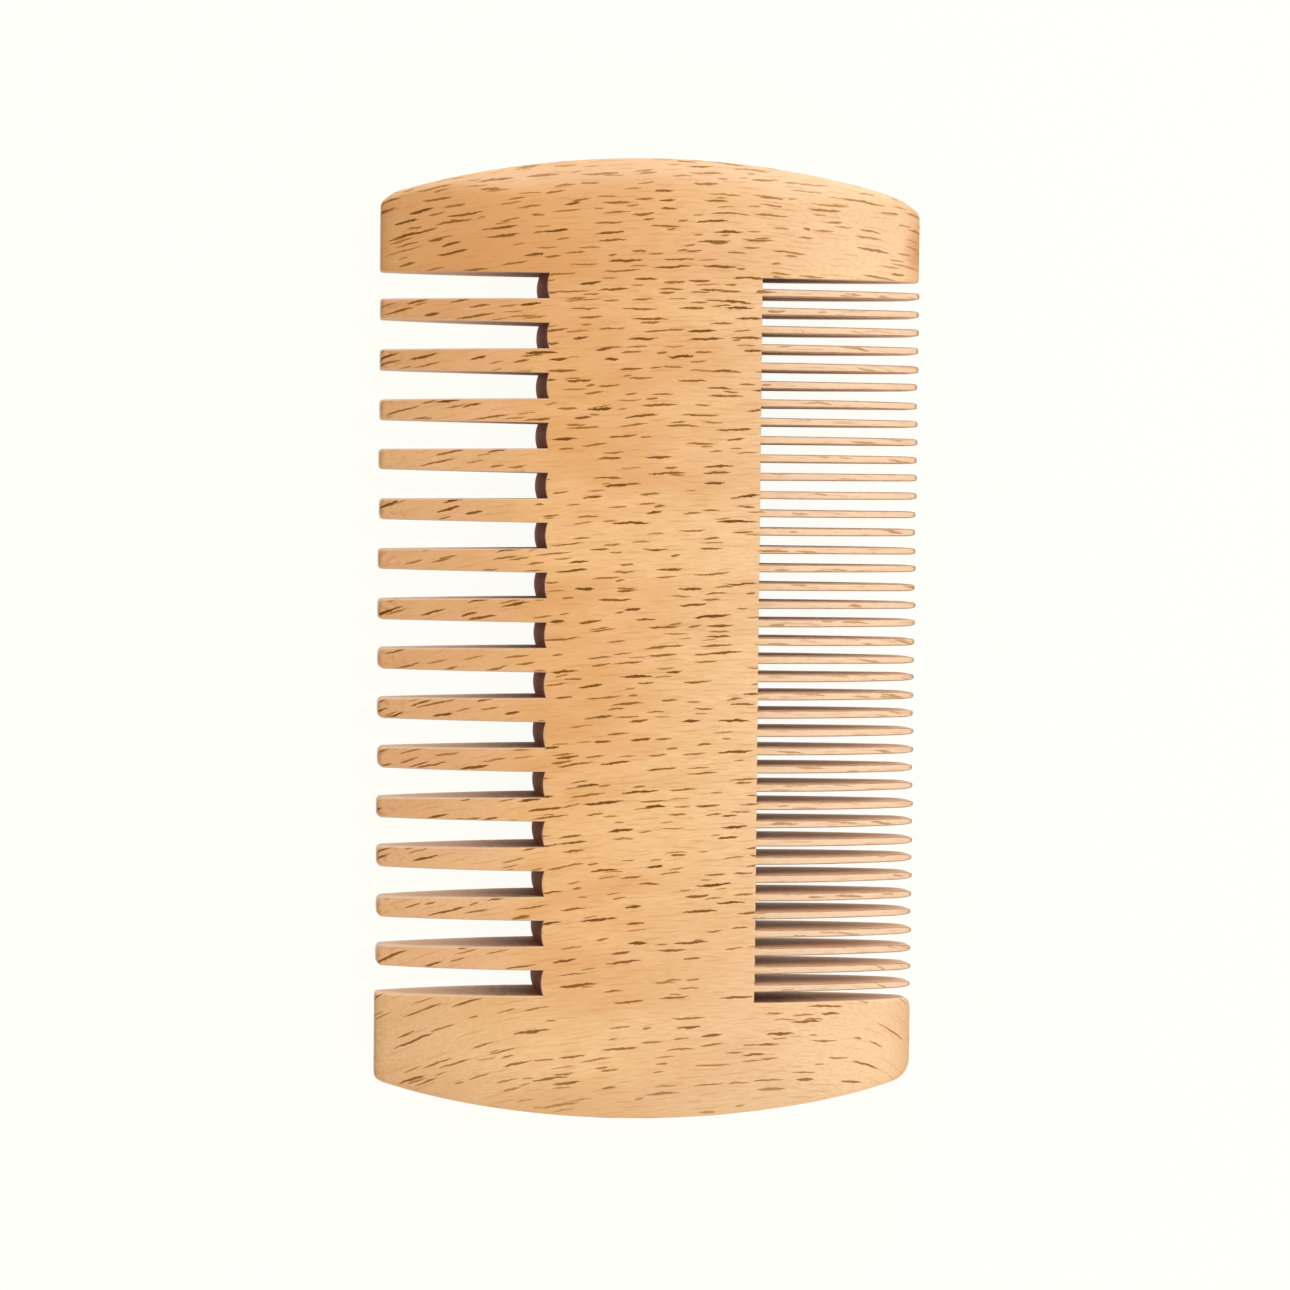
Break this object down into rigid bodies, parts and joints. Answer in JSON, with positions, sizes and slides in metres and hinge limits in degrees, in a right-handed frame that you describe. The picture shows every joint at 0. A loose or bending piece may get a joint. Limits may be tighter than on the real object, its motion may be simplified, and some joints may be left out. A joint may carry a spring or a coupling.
{
  "type": "beard comb",
  "caption": "Flat double-sided pocket comb in beech: wide teeth on one side, fine teeth on the other, a solid spine between them and curved guards at both ends.",
  "frame": {"origin": "under the middle of the comb, on the plane of its flat back land", "axes": "+X across the comb from the wide teeth to the fine teeth, +Y along its length towards the top guard, +Z through its thickness towards its front face"},
  "size_m": [0.054, 0.0952, 0.0096],
  "materials": {
    "beech": "sanded satin, with short brown ray flecks"
  },
  "bodies": {
    "root": {"spine": "beech", "top_guard": "beech", "bottom_guard": "beech", "wide_tooth_01": "beech", "wide_tooth_02": "beech", "wide_tooth_03": "beech", "wide_tooth_04": "beech", "wide_tooth_05": "beech", "wide_tooth_06": "beech", "wide_tooth_07": "beech", "wide_tooth_08": "beech", "wide_tooth_09": "beech", "wide_tooth_10": "beech", "wide_tooth_11": "beech", "wide_tooth_12": "beech", "wide_tooth_13": "beech", "wide_tooth_14": "beech", "fine_tooth_01": "beech", "fine_tooth_02": "beech", "fine_tooth_03": "beech", "fine_tooth_04": "beech", "fine_tooth_05": "beech", "fine_tooth_06": "beech", "fine_tooth_07": "beech", "fine_tooth_08": "beech", "fine_tooth_09": "beech", "fine_tooth_10": "beech", "fine_tooth_11": "beech", "fine_tooth_12": "beech", "fine_tooth_13": "beech", "fine_tooth_14": "beech", "fine_tooth_15": "beech", "fine_tooth_16": "beech", "fine_tooth_17": "beech", "fine_tooth_18": "beech", "fine_tooth_19": "beech", "fine_tooth_20": "beech", "fine_tooth_21": "beech", "fine_tooth_22": "beech", "fine_tooth_23": "beech", "fine_tooth_24": "beech", "fine_tooth_25": "beech", "fine_tooth_26": "beech", "fine_tooth_27": "beech", "fine_tooth_28": "beech", "fine_tooth_29": "beech", "fine_tooth_30": "beech", "fine_tooth_31": "beech", "fine_tooth_32": "beech", "fine_tooth_33": "beech", "fine_tooth_34": "beech", "fine_tooth_35": "beech", "fine_tooth_36": "beech", "fine_tooth_37": "beech", "fine_tooth_38": "beech", "fine_tooth_39": "beech"}
  },
  "joints": []
}
